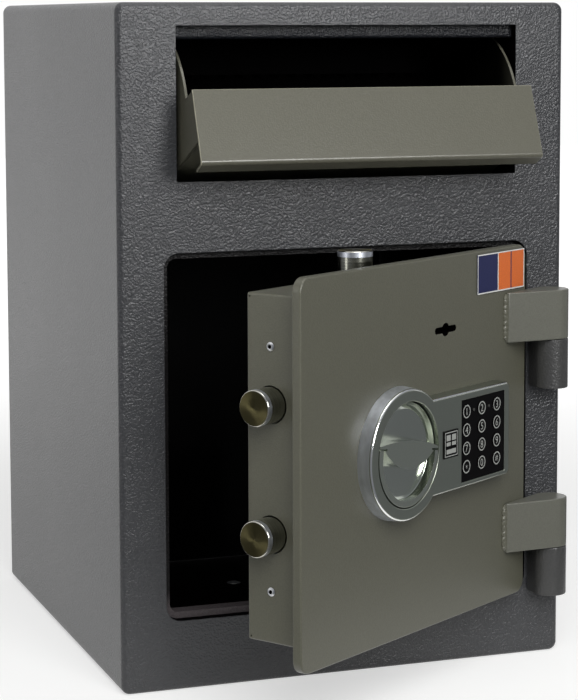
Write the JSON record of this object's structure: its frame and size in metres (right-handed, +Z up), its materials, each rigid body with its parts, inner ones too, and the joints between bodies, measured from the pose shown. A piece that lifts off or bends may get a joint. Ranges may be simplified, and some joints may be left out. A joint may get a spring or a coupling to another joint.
{
  "type": "deposit safe",
  "caption": "Front-loading deposit safe: sheet-metal body, tilting deposit hopper above a hinged door with round bolts, knob and keypad lock.",
  "frame": {"origin": "centre of the body's underside, on the surface it stands on", "axes": "+Z up, +Y to the rear, so the front with door and hopper faces -Y"},
  "size_m": [0.342, 0.5254, 0.49],
  "materials": {
    "body_paint": "dark blue-grey fine textured powder coat",
    "inner_paint": "dark powder coat inside the hopper's space",
    "hopper_paint": "olive-grey satin paint",
    "door_paint": "olive-grey satin paint",
    "zinc_steel": "zinc plated",
    "bolt_steel": "turned and polished steel",
    "satin_nickel": "satin nickel plated die casting",
    "panel_plastic": "black membrane panel",
    "key_plastic": "black keys with pale rings and numbers",
    "dark_plastic": "black moulding",
    "lens": "small status lenses, unlit",
    "board": "circuit board",
    "door_label": "plain two-colour plate without text",
    "keypad_label": "plain dark sticker without text"
  },
  "bodies": {
    "body": {"body_shell": "body_paint", "rear_plate": "body_paint", "door_frame": "body_paint", "hinge_knuckle_upper": "body_paint", "hinge_knuckle_lower": "body_paint", "hinge_pin_upper": "bolt_steel", "hinge_pin_lower": "bolt_steel", "hopper_cheek_left": "inner_paint", "hopper_cheek_right": "inner_paint", "top_guard": "body_paint", "rear_baffle": "inner_paint", "chute_floor": "inner_paint"},
    "hopper": {"hopper_panel": "hopper_paint", "hopper_floor": "hopper_paint", "hopper_side_left": "hopper_paint", "hopper_side_right": "hopper_paint", "hopper_pivot_left": "zinc_steel", "hopper_pivot_right": "zinc_steel"},
    "door": {"door_plate": "door_paint", "hinge_arm_upper": "door_paint", "hinge_arm_lower": "door_paint", "bolt_box": "door_paint", "bolt_guide": "zinc_steel", "rivet_upper": "zinc_steel", "rivet_lower": "zinc_steel", "lock_housing": "satin_nickel", "keypad_panel": "panel_plastic", "status_light_left": "lens", "status_light_right": "lens", "circuit_board": "board", "door_label": "door_label", "keypad_label": "keypad_label", "key_lock_case": "zinc_steel", "solenoid_body": "dark_plastic", "battery_holder": "dark_plastic"},
    "turning_knob": {"knob": "satin_nickel", "knob_spindle": "zinc_steel", "cam_disc": "zinc_steel"},
    "carriage": {"bolt_carriage": "zinc_steel", "side_bolt_upper": "bolt_steel", "side_bolt_lower": "bolt_steel"},
    "rising_bolt": {"top_bolt": "bolt_steel", "top_link": "zinc_steel"},
    "sinking_bolt": {"bottom_bolt": "bolt_steel", "bottom_link": "zinc_steel"},
    "plunger": {"solenoid_plunger": "bolt_steel"},
    "sliding_cover": {"battery_cover": "dark_plastic"},
    "pressed_key_1": {"key_1": "key_plastic"},
    "pressed_key_2": {"key_2": "key_plastic"},
    "pressed_key_3": {"key_3": "key_plastic"},
    "pressed_key_4": {"key_4": "key_plastic"},
    "pressed_key_5": {"key_5": "key_plastic"},
    "pressed_key_6": {"key_6": "key_plastic"},
    "pressed_key_7": {"key_7": "key_plastic"},
    "pressed_key_8": {"key_8": "key_plastic"},
    "pressed_key_9": {"key_9": "key_plastic"},
    "pressed_key_clear": {"key_clear": "key_plastic"},
    "pressed_key_0": {"key_0": "key_plastic"},
    "pressed_key_enter": {"key_enter": "key_plastic"}
  },
  "joints": [
    {"name": "door_hinge", "type": "hinge", "parent": "body", "child": "door", "pos_m": [0.1572, -0.1938, 0.1826], "axis": [0, 0, 1], "range_deg": [-33.4, 76.6]},
    {"name": "hopper_tilt", "type": "hinge", "parent": "body", "child": "hopper", "pos_m": [0.0024, -0.125, 0.395], "axis": [1, 0, 0], "range_deg": [-30, 0]},
    {"name": "knob_turn", "type": "hinge", "parent": "door", "child": "turning_knob", "pos_m": [-0.00404, -0.28479, 0.1826], "axis": [-0.5505, 0.8348, 0], "range_deg": [0, 80]},
    {"name": "carriage_slide", "type": "slide", "parent": "door", "child": "carriage", "axis": [0.8348, 0.5505, 0], "range_m": [0, 0.0206]},
    {"name": "top_bolt_slide", "type": "slide", "parent": "door", "child": "rising_bolt", "axis": [0, 0, -1], "range_m": [0, 0.0206]},
    {"name": "bottom_bolt_slide", "type": "slide", "parent": "door", "child": "sinking_bolt", "axis": [0, 0, 1], "range_m": [0, 0.0206]},
    {"name": "plunger_slide", "type": "slide", "parent": "door", "child": "plunger", "axis": [0, 0, 1], "range_m": [-0.006, 0]},
    {"name": "battery_cover_slide", "type": "slide", "parent": "door", "child": "sliding_cover", "axis": [0, 0, 1], "range_m": [0, 0.02]},
    {"name": "key_1_press", "type": "slide", "parent": "door", "child": "pressed_key_1", "axis": [-0.5505, 0.8348, 0], "range_m": [0, 0.0008], "stiffness_N_per_m": 600},
    {"name": "key_2_press", "type": "slide", "parent": "door", "child": "pressed_key_2", "axis": [-0.5505, 0.8348, 0], "range_m": [0, 0.0008], "stiffness_N_per_m": 600},
    {"name": "key_3_press", "type": "slide", "parent": "door", "child": "pressed_key_3", "axis": [-0.5505, 0.8348, 0], "range_m": [0, 0.0008], "stiffness_N_per_m": 600},
    {"name": "key_4_press", "type": "slide", "parent": "door", "child": "pressed_key_4", "axis": [-0.5505, 0.8348, 0], "range_m": [0, 0.0008], "stiffness_N_per_m": 600},
    {"name": "key_5_press", "type": "slide", "parent": "door", "child": "pressed_key_5", "axis": [-0.5505, 0.8348, 0], "range_m": [0, 0.0008], "stiffness_N_per_m": 600},
    {"name": "key_6_press", "type": "slide", "parent": "door", "child": "pressed_key_6", "axis": [-0.5505, 0.8348, 0], "range_m": [0, 0.0008], "stiffness_N_per_m": 600},
    {"name": "key_7_press", "type": "slide", "parent": "door", "child": "pressed_key_7", "axis": [-0.5505, 0.8348, 0], "range_m": [0, 0.0008], "stiffness_N_per_m": 600},
    {"name": "key_8_press", "type": "slide", "parent": "door", "child": "pressed_key_8", "axis": [-0.5505, 0.8348, 0], "range_m": [0, 0.0008], "stiffness_N_per_m": 600},
    {"name": "key_9_press", "type": "slide", "parent": "door", "child": "pressed_key_9", "axis": [-0.5505, 0.8348, 0], "range_m": [0, 0.0008], "stiffness_N_per_m": 600},
    {"name": "key_clear_press", "type": "slide", "parent": "door", "child": "pressed_key_clear", "axis": [-0.5505, 0.8348, 0], "range_m": [0, 0.0008], "stiffness_N_per_m": 600},
    {"name": "key_0_press", "type": "slide", "parent": "door", "child": "pressed_key_0", "axis": [-0.5505, 0.8348, 0], "range_m": [0, 0.0008], "stiffness_N_per_m": 600},
    {"name": "key_enter_press", "type": "slide", "parent": "door", "child": "pressed_key_enter", "axis": [-0.5505, 0.8348, 0], "range_m": [0, 0.0008], "stiffness_N_per_m": 600}
  ],
  "couplings": [
    {"joint": "carriage_slide", "follows": "knob_turn", "m_per_rad": 0.014732},
    {"joint": "top_bolt_slide", "follows": "knob_turn", "m_per_rad": 0.014732},
    {"joint": "bottom_bolt_slide", "follows": "knob_turn", "m_per_rad": 0.014732}
  ]
}
